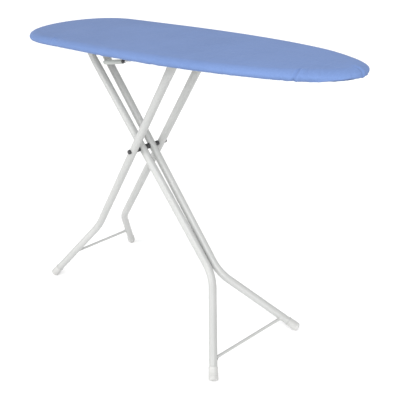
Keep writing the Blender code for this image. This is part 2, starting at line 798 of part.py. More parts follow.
def rounded_corner(before, corner, after, reach, steps=4):
    """Points of a smooth bend that starts and ends a reach from the corner."""
    start = corner + (before - corner).normalized() * reach
    end = corner + (after - corner).normalized() * reach
    points = []
    for i in range(steps + 1):
        t = i / steps
        points.append(start * (1 - t) ** 2 + corner * (2 * t * (1 - t)) + end * t**2)
    return points


def build_grip(looks):
    """A plastic grip with a blind bore, and the dark collar at its mouth."""
    tail, nose, along = grip_axis()
    length = (nose - tail).length
    bore = WIRE_R + GAP
    profile = [
        (0.0, 0.0008),
        (0.0, 0.0036),
        (0.0012, 0.0050),
        (0.0040, 0.0058),
        (length * 0.6, GRIP_R),
        (length, GRIP_R - 0.0006),
        (length, bore),
        (0.0100, bore),
        (0.0100, 0.0008),
    ]
    add_object("lever_grip", turned("lever_grip", tail, along, profile, 14), looks["grip"])
    collar = [
        (0.0, bore),
        (0.0, GRIP_R - 0.0004),
        (COLLAR_LENGTH * 0.45, GRIP_R - 0.0010),
        (COLLAR_LENGTH, WIRE_R + 0.0010),
        (COLLAR_LENGTH, bore),
    ]
    start = nose + along * GAP
    add_object("grip_collar", turned("grip_collar", start, along, collar, 14), looks["black"])


def build_latch(looks):
    """The toothed catch bar on the lever's shaft, under the slide rod."""
    teeth = []
    half_notch = PIN_R + 0.0005
    for k in range(-TEETH_BEFORE, TEETH_AFTER + 1):
        x = SLIDE_X + k * TOOTH_PITCH
        teeth += [
            (x - half_notch, TOOTH_ROOT_Z),
            (x + half_notch, TOOTH_ROOT_Z),
            (x + half_notch, TOOTH_TIP_Z),
            (x + half_notch + 0.004, TOOTH_TIP_Z),
        ]
    first_x = teeth[0][0]
    last_x = teeth[-1][0]
    side = arc((SHAFT_X, SHAFT_Z), 0.007, radians(20), radians(270), 10)
    side += [(first_x - 0.010, LATCH_BOTTOM_Z + 0.004), (first_x, LATCH_BOTTOM_Z)]
    side += [(last_x, LATCH_BOTTOM_Z + 0.002)]
    side += list(reversed(teeth))
    half = LATCH_THICK / 2
    plate = prism("latch_bar", side, -half, half)
    bar = add_object("latch_bar", plate, looks["steel"], smooth=False)
    hole = rod_between("hole", (SHAFT_X, -0.01, SHAFT_Z), (SHAFT_X, 0.02, SHAFT_Z), WIRE_R + GAP, 12)
    boolean(bar, cutter("latch_hole", hole))


# ---------------------------------------------------------------------- main


def main():
    clear_scene()
    looks = {
        "white": material("white_powder_coat", (0.83, 0.84, 0.83), 0.35),
        "frame": material("light_grey_coat", (0.72, 0.73, 0.73), 0.45),
        "steel": material("zinc_steel", (0.62, 0.63, 0.65), 0.35, 1.0),
        "cap": material("white_plastic", (0.82, 0.82, 0.81), 0.40),
        "black": material("black_nylon", (0.03, 0.03, 0.03), 0.45),
        "grip": material("grey_plastic", (0.55, 0.57, 0.56), 0.40),
        "pad": material("felt", (0.80, 0.78, 0.74), 0.95),
        "cover": material("blue_cotton", (0.15, 0.28, 0.68), 0.90),
        "elastic": material("elastic", (0.75, 0.75, 0.74), 0.90),
    }
    holes = build_pin_holes()
    build_panel(looks)
    build_pad(looks)
    build_cover(looks)
    build_hem_cord(looks)
    build_brace(looks, "tail_brace", TAIL_BRACE_X)
    build_brace(looks, "nose_brace", NOSE_BRACE_X)
    for label, side in (("near", -1), ("far", 1)):
        build_rail(looks, f"rail_{label}", side)
        build_hinge_bracket(looks, f"hinge_bracket_{label}", side, holes)
    build_lever_bracket(looks, "lever_bracket_outer", -0.086)
    build_lever_bracket(looks, "lever_bracket_inner", -0.020)
    build_spring(looks)
    build_rivets(looks)
    build_legs(looks, holes)
    build_axle(looks)
    build_hinge_pin(looks)
    build_slide_rod(looks)
    build_lever_wire(looks)
    build_grip(looks)
    build_latch(looks)


main()
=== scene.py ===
"""Looks for the folding ironing board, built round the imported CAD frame.

Metres, +Z up, the same frame as the CAD. The narrow nose points along +X.
"""

import json
from math import atan2, cos, pi, radians, sin, sqrt, tan

import bmesh
import bpy
import numpy as np
from mathutils import Matrix, Vector, noise


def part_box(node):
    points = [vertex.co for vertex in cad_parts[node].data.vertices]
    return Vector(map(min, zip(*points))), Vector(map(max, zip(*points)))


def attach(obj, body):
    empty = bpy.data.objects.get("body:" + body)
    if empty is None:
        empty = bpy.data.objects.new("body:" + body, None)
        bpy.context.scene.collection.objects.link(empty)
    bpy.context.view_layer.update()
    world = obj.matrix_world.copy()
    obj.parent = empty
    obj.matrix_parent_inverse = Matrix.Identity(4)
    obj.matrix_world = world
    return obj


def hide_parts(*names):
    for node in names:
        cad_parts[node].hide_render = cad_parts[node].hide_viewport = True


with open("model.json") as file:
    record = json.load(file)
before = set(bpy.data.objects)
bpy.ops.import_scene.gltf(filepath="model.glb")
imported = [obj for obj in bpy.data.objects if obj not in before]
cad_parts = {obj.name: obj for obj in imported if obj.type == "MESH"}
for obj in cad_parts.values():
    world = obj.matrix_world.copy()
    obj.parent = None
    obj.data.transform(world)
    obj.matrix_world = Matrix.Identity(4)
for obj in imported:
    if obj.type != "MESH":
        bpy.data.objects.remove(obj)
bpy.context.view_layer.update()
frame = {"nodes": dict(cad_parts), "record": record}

UP = Vector((0.0, 0.0, 1.0))
ACROSS = Vector((0.0, 1.0, 0.0))
SIDES = (("near", -1), ("far", 1))
BODY_OF = {name: body for body, names in frame["record"]["behaviour"]["bodies"].items() for name in names}

# ------------------------------------------------- dimensions, as in the CAD

BOARD_LENGTH = 1.158
BOARD_WIDTH = 0.3284
TUCK = 0.016                    # from the cover's edge in to the core outline
TAIL_LENGTH = 0.2025
TAIL_POWER = 2.36
NOSE_LENGTH = 0.7763
NOSE_POWER = 2.278
NOSE_ROUND = 0.4364
RIM_OFFSET = 0.0120             # offsets run out from the core outline
CORD_OFFSET = 0.0045

TOP_Z = 0.833
PANEL_TOP_Z = 0.825
SHEET = 0.0008
PANEL_UNDER_Z = PANEL_TOP_Z - SHEET
RIM_BOTTOM_Z = 0.8155
CORD_Z = 0.8141
EDGE_REACH = 0.022              # the cover's soft edge, above its widest line
EDGE_DROP = 0.0127
HEM_REACH = 0.010               # and its turn inwards, below that line
HEM_DROP = 0.0085
WIDEST_Z = TOP_Z - EDGE_DROP
HEM_Z = WIDEST_Z - HEM_DROP

VENT_PITCH_X = 0.066
VENT_PITCH_Y = 0.052
VENT_R = 0.009
VENT_MARGIN = 0.034
VENT_LIMIT_X = 0.53

LEG_ANGLE = radians(39.21)
AXLE_X = -0.1628
AXLE_Z = 0.5153
PIN_Z = 0.797
UPPER = (PIN_Z - AXLE_Z) / cos(LEG_ANGLE)
REACH = (PIN_Z - AXLE_Z) * tan(LEG_ANGLE)
HINGE_X = AXLE_X - REACH
TUBE_R = 0.0111
BEND_RADIUS = 0.13
FLAT_HALF_THICK = 0.0026
FLAT_HALF_HEIGHT = 0.0145
FLAT_LENGTH = 0.02
FLAT_BLEND = 0.06
END_BEYOND_PIN = 0.014
INNER_Y = 0.017                 # inner pair at the axle
INNER_TOE_IN = 0.0134
INNER_BEND = 0.4121             # from the axle down to the bend
INNER_FOOT_Y = 0.168
INNER_ROD_AT = 0.81             # foot rod, as a share of the splayed foot
OUTER_Y = 0.0492
OUTER_BEND = 0.4097
OUTER_FOOT_Y = 0.1673
OUTER_ROD_AT = 0.56
PIN_R = 0.004
FOOT_ROD_R = 0.004
CAP_R = 0.0126
CAP_LENGTH = 0.034
CAP_FLOOR = 0.003
CAP_FLAT = 0.0012

SHAFT_X = -0.031
SHAFT_Z = 0.809
SHAFT_END_Y = 0.009
WIRE_R = 0.0025
LEVER_Y = -0.100
GRIP_TAIL = (-0.1725, 0.7741)   # x, z
GRIP_NOSE = (-0.0825, 0.7870)
KNEE = (-0.0455, 0.7923)
GRIP_R = 0.0060
COLLAR_LENGTH = 0.012

# ---------------------------------------------------------- finer dimensions

TIP_R = 0.0004                  # tiny flats that close turned pieces on their axis
BORE_R = PIN_R + 0.0002
SOCKET_R = TUBE_R + 0.0001
END_ARC = radians(78)           # how far the pressed end of a tube is rounded
SQUARENESS = 1.6                # added to the section's power where it is pressed
TUBE_END = 0.0035               # the tube's lower end, up from the cap's sole
CAP_RINGS = (0.0105, 0.0155)    # grip rings, along from the sole
CAP_RING_DEPTH = 0.0006
WELD_REACH = 0.0065             # weld bead on the foot rod, out from the tube
WELD_R = 0.0026
BUSH_ROUND = 0.0008             # rounded edges
PIN_ROUND = 0.0006
RIB_PITCH = 0.0062              # finger ribs on the grip
RIB_DEPTH = 0.00035
SPRING_ARM = 0.018
RIM_BEND_OUTER = 0.0022         # bend radii of the panel's rim
RIM_BEND_INNER = 0.0015

# -------------------------------------------------------------- mesh helpers


def to_mesh(name, bm):
    """Hand a bmesh over to a new mesh."""
    mesh = bpy.data.meshes.new(name)
    bm.to_mesh(mesh)
    bm.free()
    return mesh


def placed(name, data):
    """Put a mesh, lamp or camera in the scene as an object."""
    made = bpy.data.objects.new(name, data)
    bpy.context.scene.collection.objects.link(made)
    return made


def solid(name, bm):
    """A plain object with its faces turned outwards, for a cut."""
    bmesh.ops.recalc_face_normals(bm, faces=bm.faces)
    return placed(name, to_mesh(name, bm))


def piece(name, bm, look, body, stands_for=(), smooth=35):
    """Turn a bmesh into a shown piece that rides on a body."""
    bmesh.ops.recalc_face_normals(bm, faces=bm.faces)
    return finished(name, to_mesh(name, bm), look, body, stands_for, smooth)


def finished(name, mesh, look, body, stands_for=(), smooth=35):
    """Shade a mesh, with edges sharper than smooth degrees kept, put it on its body and hide the CAD nodes
    that it stands for.
    """
    mesh.materials.append(look)
    mesh.shade_smooth()
    if smooth:
        mesh.set_sharp_from_angle(angle=radians(smooth))
    made = placed(name, mesh)
    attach(made, body)
    if stands_for:
        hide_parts(*stands_for)
    return made


def bridge(bm, rings, closed=False):
    """Join each ring of vertices to the next with quads."""
    pairs = list(zip(rings, rings[1:]))
    if closed:
        pairs.append((rings[-1], rings[0]))
    for low, high in pairs:
        count = len(low)
        for i in range(count):
            j = (i + 1) % count
            bm.faces.new((low[i], low[j], high[j], high[i]))


def loft(bm, rings, closed=False):
    """Skin over rings of points, with filled ends unless closed on itself."""
    made = [[bm.verts.new(point) for point in ring] for ring in rings]
    bridge(bm, made, closed)
    if not closed:
        bm.faces.new(made[0][::-1])
        bm.faces.new(made[-1])


def section(centre, along, half_a, half_b, axis_a, sides, power=2.0):
    """A rounded section about centre, square to along: an ellipse at power 2
    and closer to a rectangle above it."""
    side_a = (axis_a - along * axis_a.dot(along)).normalized()
    side_b = along.cross(side_a)
    points = []
    for i in range(sides):
        turn = 2 * pi * i / sides
        c, s = cos(turn), sin(turn)
        a = half_a * abs(c) ** (2 / power) * (1 if c >= 0 else -1)
        b = half_b * abs(s) ** (2 / power) * (1 if s >= 0 else -1)
        points.append(centre + side_a * a + side_b * b)
    return points


def turned(bm, base, axis, profile, sides=40, closed=True):
    """Turn (distance along, radius) pairs about an axis."""
    base = Vector(base)
    axis = Vector(axis).normalized()
    helper = UP if abs(axis.z) < 0.9 else Vector((1.0, 0.0, 0.0))
    rings = [section(base + axis * along, axis, r, r, helper, sides) for along, r in profile]
    loft(bm, rings, closed)


def swept(bm, points, radius, sides=16, helper=Vector((1.0, 2.0, 6.0)), closed=False):
    """A round wire along points. radius is a number or a function of the index."""
    rings = []
    count = len(points)
    for i, point in enumerate(points):
        before = points[i - 1] if closed or i > 0 else points[0]
        after = points[(i + 1) % count] if closed or i < count - 1 else points[-1]
        r = radius(i) if callable(radius) else radius
        rings.append(section(point, (after - before).normalized(), r, r, helper, sides))
    loft(bm, rings, closed)


def rounded_corner(before, corner, after, reach, steps=12):
    """Points of a curve that starts and ends reach away from the corner."""
    start = corner + (before - corner).normalized() * reach
    end = corner + (after - corner).normalized() * reach
    points = []
    for i in range(steps + 1):
        t = i / steps
        points.append(start * (1 - t) ** 2 + corner * (2 * t * (1 - t)) + end * t**2)
    return points


def quarter(along, radius, size, outward, steps=5):
    """Profile points that round an edge of a turned piece. outward is 1 where
    the radius grows with distance along, and -1 where it shrinks."""
    points = []
    for i in range(steps + 1):
        turn = pi / 2 * i / steps
        if outward > 0:
            points.append((along + size * (1 - cos(turn)), radius - size * (1 - sin(turn))))
        else:
            points.append((along - size * (1 - sin(turn)), radius - size * (1 - cos(turn))))
    return points


# ----------------------------------------------------------------- materials


class Look:
    """A node material under construction."""

    def __init__(self, name, colour, roughness, metallic=0.0):
        self.material = bpy.data.materials.new(name)
        self.material.use_nodes = True
        self.tree = self.material.node_tree
        self.shader = self.tree.nodes["Principled BSDF"]
        self.shader.inputs["Base Color"].default_value = (*colour, 1.0)
        self.shader.inputs["Roughness"].default_value = roughness
        self.shader.inputs["Metallic"].default_value = metallic
        self.coords = self.tree.nodes.new("ShaderNodeTexCoord").outputs["Object"]

    def node(self, kind, values=(), **settings):
        made = self.tree.nodes.new("ShaderNode" + kind)
        for key, value in settings.items():
            setattr(made, key, value)
        for key, value in dict(values).items():
            if isinstance(value, bpy.types.NodeSocket):
                self.tree.links.new(value, made.inputs[key])
            else:
                made.inputs[key].default_value = value
        return made

    def stretched(self, scale, turn=(0.0, 0.0, 0.0)):
        """Object coordinates scaled along each axis."""
        values = {"Vector": self.coords, "Scale": scale, "Rotation": turn}
        return self.node("Mapping", values).outputs["Vector"]

    def noise(self, scale, detail=2.0, vector=None, rough=0.5):
        values = {"Vector": vector or self.coords, "Scale": scale, "Detail": detail, "Roughness": rough}
        return self.node("TexNoise", values).outputs["Fac"]

    def ramp(self, value, low, high, out_low=0.0, out_high=1.0):
        values = {"Value": value, "From Min": low, "From Max": high, "To Min": out_low, "To Max": out_high}
        return self.node("MapRange", values).outputs["Result"]

    def math(self, operation, a, b=0.0):
        return self.node("Math", {0: a, 1: b}, operation=operation).outputs[0]

    def mix(self, factor, a, b):
        made = self.node("Mix", {"Factor": factor}, data_type="RGBA")
        for key, value in ((6, a), (7, b)):
            if isinstance(value, bpy.types.NodeSocket):
                self.tree.links.new(value, made.inputs[key])
            else:
                made.inputs[key].default_value = (*value, 1.0)
        return made.outputs[2]

    def height(self):
        """The object's own height coordinate."""
        return self.node("SeparateXYZ", {0: self.coords}).outputs["Z"]

    def set(self, name, value):
        if isinstance(value, bpy.types.NodeSocket):
            self.tree.links.new(value, self.shader.inputs[name])
        else:
            self.shader.inputs[name].default_value = value

    def bump(self, *layers):
        """Stack bump layers of (height, strength, distance)."""
        normal = None
        for height, strength, distance in layers:
            values = {"Height": height, "Strength": strength, "Distance": distance}
            if normal is not None:
                values["Normal"] = normal
            normal = self.node("Bump", values).outputs["Normal"]
        self.set("Normal", normal)


def powder_coat(name, colour, tint, roughness=0.34):
    """Sprayed coat: orange peel, faint cloudiness and rubbed patches."""
    look = Look(name, colour, roughness)
    cloud = look.noise(9.0, 3.0)
    base = look.mix(look.ramp(cloud, 0.35, 0.65), colour, tint)
    scuff = look.noise(38.0, 5.0, look.stretched((1.0, 1.0, 0.35)), 0.65)
    rubbed = look.ramp(scuff, 0.62, 0.80, 0.0, 0.30)
    worn = tuple(c * 0.72 for c in colour)
    look.set("Base Color", look.mix(rubbed, base, worn))
    rough = look.ramp(look.noise(55.0, 4.0), 0.3, 0.7, roughness - 0.05, roughness + 0.08)
    look.set("Roughness", rough)
    look.set("Coat Weight", 0.12)
    look.set("Coat Roughness", 0.25)
    look.bump((look.noise(620.0, 2.0), 0.16, 0.0003), (look.noise(60.0, 2.0), 0.10, 0.0004))
    return look.material


def zinc(name):
    """Bright zinc plate with fine drawing marks and cloudy patches."""
    look = Look(name, (0.60, 0.61, 0.62), 0.34, 1.0)
    cell = look.node("TexVoronoi", {"Vector": look.coords, "Scale": 210.0}).outputs["Color"]
    tone = look.node("SeparateColor", {0: cell}).outputs[0]
    look.set("Base Color", look.mix(tone, (0.54, 0.55, 0.57), (0.68, 0.69, 0.70)))
    marks = look.noise(900.0, 2.0, look.stretched((1.0, 0.06, 1.0)))
    look.set("Roughness", look.ramp(look.noise(70.0, 4.0), 0.3, 0.7, 0.26, 0.46))
    look.bump((marks, 0.12, 0.0001))
    return look.material


def moulded(name, colour, roughness, grain=750.0, grime=0.0):
    """Injection-moulded plastic: fine grain, slight tone shifts and grime."""
    look = Look(name, colour, roughness)
    darker = tuple(c * 0.90 for c in colour)
    base = look.mix(look.ramp(look.noise(24.0, 3.0), 0.35, 0.7), colour, darker)
    if grime:
        low = look.ramp(look.height(), 0.0, 0.016, grime, 0.0)
        dust = look.math("MULTIPLY", low, look.ramp(look.noise(120.0, 4.0), 0.3, 0.7))
        base = look.mix(dust, base, (0.36, 0.35, 0.33))
    look.set("Base Color", base)
    rough = look.ramp(look.noise(90.0, 3.0), 0.3, 0.7, roughness - 0.06, roughness + 0.08)
    look.set("Roughness", rough)
    look.bump((look.noise(grain, 2.0), 0.22, 0.0002), (look.noise(45.0, 2.0), 0.08, 0.0004))
    return look.material


def weave_height(look, pitch):
    """Height of a plain weave that reads on faces turned any way."""
    waves = []
    for axis in ("X", "Y", "Z"):
        values = {"Vector": look.coords, "Scale": 1.0 / pitch / pi, "Distortion": 0.35, "Detail Scale": 60.0}
        waves.append(look.node("TexWave", values, bands_direction=axis).outputs["Fac"])
    return look.math("ADD", look.math("ADD", waves[0], waves[1]), waves[2])


def cotton(name, colour):
    """Washed plain-weave cotton: threads, slubs, soft creases and fading."""
    look = Look(name, colour, 0.86)
    faded = tuple(min(c * 1.03 + 0.004, 1.0) for c in colour)
    deep = tuple(c * 0.96 for c in colour)
    cloud = look.ramp(look.noise(5.5, 4.0), 0.32, 0.68)
    base = look.mix(cloud, deep, faded)
    slub_x = look.ramp(look.noise(520.0, 2.0, look.stretched((0.05, 1.0, 1.0))), 0.45, 0.75, 0.0, 0.16)
    slub_y = look.ramp(look.noise(520.0, 2.0, look.stretched((1.0, 0.05, 0.4))), 0.45, 0.75, 0.0, 0.16)
    threads = look.math("ADD", slub_x, slub_y)
    base = look.mix(threads, base, tuple(min(c * 1.28 + 0.02, 1.0) for c in colour))
    look.set("Base Color", base)
    look.set("Roughness", look.ramp(look.noise(140.0, 3.0), 0.3, 0.7, 0.80, 0.94))
    look.set("Specular IOR Level", 0.2)
    look.set("Sheen Weight", 0.04)
    look.set("Sheen Roughness", 0.45)
    crease = look.noise(46.0, 5.0, look.stretched((0.7, 1.3, 1.0)), 0.55)
    look.bump(
        (crease, 0.16, 0.0016),
        (look.noise(240.0, 3.0), 0.10, 0.0005),
        (weave_height(look, 0.0009), 0.20, 0.00016),
    )
    return look.material


def felt_look(name):
    """Pressed felt with coloured flecks and loose fibres."""
    look = Look(name, (0.62, 0.60, 0.56), 0.95)
    fleck = look.ramp(look.noise(260.0, 4.0, None, 0.7), 0.56, 0.70)
    base = look.mix(fleck, (0.66, 0.64, 0.60), (0.36, 0.38, 0.42))
    turned_coords = look.stretched((1.0, 1.0, 1.0), (1.0, 0.5, 0.2))
    warm = look.ramp(look.noise(190.0, 4.0, turned_coords), 0.60, 0.72)
    look.set("Base Color", look.mix(warm, base, (0.70, 0.52, 0.40)))
    look.set("Sheen Weight", 0.35)
    look.bump((look.noise(420.0, 6.0, look.stretched((1.0, 0.4, 1.0)), 0.7), 0.6, 0.0006))
    return look.material


def elastic_look(name):
    """Braided elastic: fine bands round the cord."""
    look = Look(name, (0.74, 0.74, 0.73), 0.88)
    band = weave_height(look, 0.0011)
    base = look.mix(look.ramp(band, 0.6, 2.4), (0.52, 0.52, 0.52), (0.80, 0.80, 0.79))
    look.set("Base Color", base)
    look.bump((band, 0.5, 0.0003))
    return look.material


WHITE = powder_coat("white_powder_coat", (0.396, 0.399, 0.392), (0.374, 0.379, 0.371))
GREY = powder_coat("light_grey_coat", (0.40, 0.41, 0.41), (0.37, 0.38, 0.38), 0.42)
ZINC = zinc("zinc_plated_steel")
CAP = moulded("white_cap_plastic", (0.44, 0.44, 0.43), 0.42, 750.0, 0.45)
BLACK = moulded("black_nylon_fine", (0.028, 0.028, 0.030), 0.44)
GRIP = moulded("grey_grip_plastic", (0.36, 0.38, 0.36), 0.42, 520.0)
FELT = felt_look("felt_pad")
COTTON = cotton("blue_cotton_weave", (0.1125, 0.1775, 0.356))
THREAD = cotton("sewing_thread", (0.20, 0.28, 0.50))
ELASTIC = elastic_look("braided_elastic")

# ------------------------------------------------------------- board outline


def half_width(x):
    """Half the cover's width at x: a rounded tail, and a long taper to the nose."""
    tail = min(max((TAIL_LENGTH - BOARD_LENGTH / 2 - x) / TAIL_LENGTH, 0.0), 1.0)
    nose = min(max((x + NOSE_LENGTH - BOARD_LENGTH / 2) / NOSE_LENGTH, 0.0), 1.0)
    return BOARD_WIDTH / 2 * sqrt(1 - tail**TAIL_POWER) * (1 - nose**NOSE_POWER) ** NOSE_ROUND


def core_outline(spacing):
    """Points of the core outline, TUCK inside the cover's edge, at even spacing
    from the tail tip round by the near side, with unit normals and distances
    along the edge. The two sides mirror each other."""
    fine = 4000
    xs = -BOARD_LENGTH / 2 * np.cos(np.pi * np.arange(fine + 1) / fine)
    ys = -np.array([half_width(x) for x in xs])
    run = np.concatenate([[0.0], np.cumsum(np.hypot(np.diff(xs), np.diff(ys)))])
    half = int(round(run[-1] / spacing))
    even = np.linspace(0.0, run[-1], half + 1)
    near_x = np.interp(even, run, xs)
    near_y = np.interp(even, run, ys)
    x = np.concatenate([near_x, near_x[-2:0:-1]])
    y = np.concatenate([near_y, -near_y[-2:0:-1]])
    chord_x = np.roll(x, -1) - np.roll(x, 1)
    chord_y = np.roll(y, -1) - np.roll(y, 1)
    size = np.hypot(chord_x, chord_y)
    normals = np.stack([chord_y / size, -chord_x / size, np.zeros(len(x))], 1)
    points = np.stack([x, y, np.zeros(len(x))], 1) - normals * TUCK
    distance = np.concatenate([even, run[-1] + even[1:-1]])
    return points, normals, distance


def wave(values, scale, seed):
    """Smooth repeatable noise of a run of numbers, about -1 to 1."""
    return np.array([noise.noise(Vector((v / scale, seed, 0.37))) for v in values]) * 1.9


# ------------------------------------------------------------------ the legs


class Leg:
    """The path of one bent tube, with z up along the leg from the pair's pivot.
    to_world takes it to where the legs stand."""

    def __init__(self, pair, side):
        self.side = side
        if pair == "inner":
            pivot, lean = (HINGE_X, 0, PIN_Z), -LEG_ANGLE
            self.top_z, self.axle_z = END_BEYOND_PIN, -UPPER
            self.axle_y, self.toe_in, self.rod_at = INNER_Y, INNER_TOE_IN, INNER_ROD_AT
            bend_at, foot_y = INNER_BEND, INNER_FOOT_Y
        else:
            pivot, lean = (AXLE_X, 0, AXLE_Z), LEG_ANGLE
            self.top_z, self.axle_z = UPPER + END_BEYOND_PIN, 0.0
            self.axle_y, self.toe_in, self.rod_at = OUTER_Y, 0.0, OUTER_ROD_AT
            bend_at, foot_y = OUTER_BEND, OUTER_FOOT_Y
        self.to_world = Matrix.Translation(pivot) @ Matrix.Rotation(lean, 4, "Y")
        lower = AXLE_Z / cos(LEG_ANGLE)
        self.bend_z = self.axle_z - bend_at
        self.bend_y = self.axle_y - self.toe_in * bend_at
        self.splay = atan2(foot_y - self.bend_y, lower - bend_at)
        slope = cos(self.splay) * cos(LEG_ANGLE)
        rise = CAP_R * sqrt(1 - slope**2) - CAP_FLAT
        end_z = self.axle_z - lower + rise / cos(LEG_ANGLE)
        self.foot_length = (self.bend_z - end_z) / cos(self.splay)

    def straight(self, z):
        """A point of the straight upper part."""
        return Vector((0.0, self.side * (self.axle_y + self.toe_in * (z - self.axle_z)), z))

    def foot_direction(self):
        return Vector((0.0, self.side * sin(self.splay), -cos(self.splay)))

    def foot_point(self, distance):
        """A point of the splayed foot, down from the bend."""
        return Vector((0.0, self.side * self.bend_y, self.bend_z)) + self.foot_direction() * distance

    def stations(self):
        """(point, direction, flatness, height factor) from the pressed end down."""
        down = (self.straight(self.top_z - 1.0) - self.straight(self.top_z)).normalized()
        pin = self.top_z - END_BEYOND_PIN
        made = []
        for i in range(9):
            turn = END_ARC * (1 - i / 8)
            end = self.straight(pin + END_BEYOND_PIN * sin(turn) / sin(END_ARC))
            made.append((end, down, 1.0, cos(turn)))
        made.append((self.straight(pin - FLAT_LENGTH), down, 1.0, 1.0))
        for i in range(1, 15):
            share = i / 14
            ease = 1 - share * share * (3 - 2 * share)
            blend = self.straight(pin - FLAT_LENGTH - FLAT_BLEND * share)
            made.append((blend, down, ease, 1.0))
        lean = atan2(-self.toe_in, 1.0)
        turn = self.splay - lean
        start = self.foot_point(0.0) - down * (BEND_RADIUS * tan(turn / 2))
        outward = Vector((0.0, self.side, 0.0))
        across = (outward - down * outward.dot(down)).normalized()
        centre = start + across * BEND_RADIUS
        for i in range(19):
            angle = turn * i / 18
            inwards, along = across * (BEND_RADIUS * cos(angle)), down * (BEND_RADIUS * sin(angle))
            made.append((centre - inwards + along, down * cos(angle) + across * sin(angle), 0.0, 1.0))
        foot = self.foot_point(self.foot_length - TUBE_END)
        made.append((foot, self.foot_direction(), 0.0, 1.0))
        return made


def build_leg(pair, label, side):
    """One bent tube, pressed flat at the top, with its cap."""
    leg = Leg(pair, side)
    body = pair + "_legs"
    rings = []
    for point, along, flat, shrink in leg.stations():
        thick = TUBE_R + (FLAT_HALF_THICK - TUBE_R) * flat
        tall = (TUBE_R + (FLAT_HALF_HEIGHT - TUBE_R) * flat) * shrink
        power = 2.0 + SQUARENESS * flat
        rings.append(section(point, along, thick, tall, ACROSS, 48, power))
    bm = bmesh.new()
    loft(bm, rings)
    bmesh.ops.transform(bm, matrix=leg.to_world, verts=bm.verts)
    piece(f"{pair}_tube_{label}", bm, WHITE, body, [f"{pair}_leg_{label}"])
    build_foot_cap(pair, label, leg, body)
    return leg


def build_foot_cap(pair, label, leg, body):
    """A push-on cup with a rolled lip, two grip rings and a worn sole."""
    bm = bmesh.new()
    profile = [(0.0, TIP_R), (0.0, CAP_R - 0.0034)]
    profile += quarter(0.0, CAP_R, 0.0030, 1, 8)
    for ring_at in CAP_RINGS:
        profile += [
            (ring_at, CAP_R - 0.0001),
            (ring_at + 0.0004, CAP_R - CAP_RING_DEPTH),
            (ring_at + 0.0012, CAP_R - CAP_RING_DEPTH),
            (ring_at + 0.0016, CAP_R - 0.0001),
        ]
    profile += [(CAP_LENGTH - 0.0045, CAP_R - 0.0004), (CAP_LENGTH - 0.0036, CAP_R)]
    profile += quarter(CAP_LENGTH, CAP_R, 0.0009, -1, 5)
    profile += [(CAP_LENGTH, SOCKET_R), (CAP_FLOOR, SOCKET_R), (CAP_FLOOR, TIP_R)]
    turned(bm, leg.foot_point(leg.foot_length), -leg.foot_direction(), profile, 56)
    bmesh.ops.transform(bm, matrix=leg.to_world, verts=bm.verts)
    for vert in bm.verts:
        vert.co.z = max(vert.co.z, 0.0)
    piece(f"{pair}_foot_cup_{label}", bm, CAP, body, [f"{pair}_foot_cap_{label}"])


def build_foot_rod(pair, near, far):
    """The cross rod, with a rough weld bead where it meets each tube."""
    ends = [leg.foot_point(leg.foot_length * leg.rod_at) for leg in (near, far)]
    along = (ends[1] - ends[0]).normalized()
    length = (ends[1] - ends[0]).length
    weld = [TUBE_R - 0.0018] + [TUBE_R + 0.0005 + 0.0062 * i / 8 for i in range(9)]
    middle = [length * i / 12 for i in range(2, 11)]
    rings = []
    for s in weld + middle + [length - s for s in reversed(weld)]:
        reach = min(s, length - s) - TUBE_R
        bead = WELD_R * max(0.0, 1 - reach / WELD_REACH) ** 1.6
        centre = ends[0] + along * s
        ring = section(centre, along, FOOT_ROD_R, FOOT_ROD_R, UP, 28)
        if bead > 0:
            for k, point in enumerate(ring):
                lump = 1 + 0.30 * noise.noise(point * 520.0)
                ring[k] = centre + (point - centre) * (1 + bead * lump / FOOT_ROD_R)
        rings.append(ring)
    bm = bmesh.new()
    loft(bm, rings)
    bmesh.ops.transform(bm, matrix=near.to_world, verts=bm.verts)
    piece(f"{pair}_cross_rod", bm, WHITE, pair + "_legs", [f"{pair}_foot_rod"])


# ------------------------------------------------------ pins, bushes and caps


def bush(name, x, z, y0, y1, radius, body, waist):
    """A moulded bush on a pin along Y, with rounded ends and a slight waist."""
    length = abs(y1 - y0)
    profile = [(0.0, BORE_R)] + quarter(0.0, radius, BUSH_ROUND, 1)
    if waist:
        for i in range(1, 8):
            share = i / 8
            along = BUSH_ROUND + (length - 2 * BUSH_ROUND) * share
            profile.append((along, radius - waist * sin(pi * share)))
    profile += quarter(length, radius, BUSH_ROUND, -1) + [(length, BORE_R)]
    bm = bmesh.new()
    turned(bm, (x, y0, z), (0, y1 - y0, 0), profile, 40)
    return piece(name + "_bush", bm, BLACK, body, [name])


def dome_cap(name, x, z, y0, y1, radius, body):
    """A domed push-on cap over the end of a pin."""
    length = abs(y1 - y0)
    profile = [(0.0, BORE_R), (0.0, radius - 0.0003), (0.0003, radius)]
    profile += [(0.0012, radius), (0.0016, radius - 0.0005)]
    shoulder = length * 0.45
    for i in range(10):
        turn = pi / 2 * i / 9
        along = shoulder + (length - shoulder) * sin(turn)
        profile.append((along, max((radius - 0.0005) * cos(turn) ** 0.7, TIP_R)))
    profile += [(length - 0.0019, TIP_R), (length - 0.0019, BORE_R)]
    bm = bmesh.new()
    turned(bm, (x, y0, z), (0, y1 - y0, 0), profile, 36)
    return piece(name + "_dome", bm, BLACK, body, [name])


def pin(name, x, z, half, body):
    """A turned pin along Y with broken ends."""
    profile = [(0.0, TIP_R)] + quarter(0.0, PIN_R, PIN_ROUND, 1)
    profile += quarter(2 * half, PIN_R, PIN_ROUND, -1) + [(2 * half, TIP_R)]
    bm = bmesh.new()
    turned(bm, (x, -half, z), (0, 1, 0), profile, 32)
    return piece(name + "_rod", bm, ZINC, body, [name])


def along_y(name):
    """Middle x and z, radius, and near and far ends of a CAD piece along Y."""
    low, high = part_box(name)
    x, z = (low.x + high.x) / 2, (low.z + high.z) / 2
    return x, z, (high.x - low.x) / 2, low.y, high.y


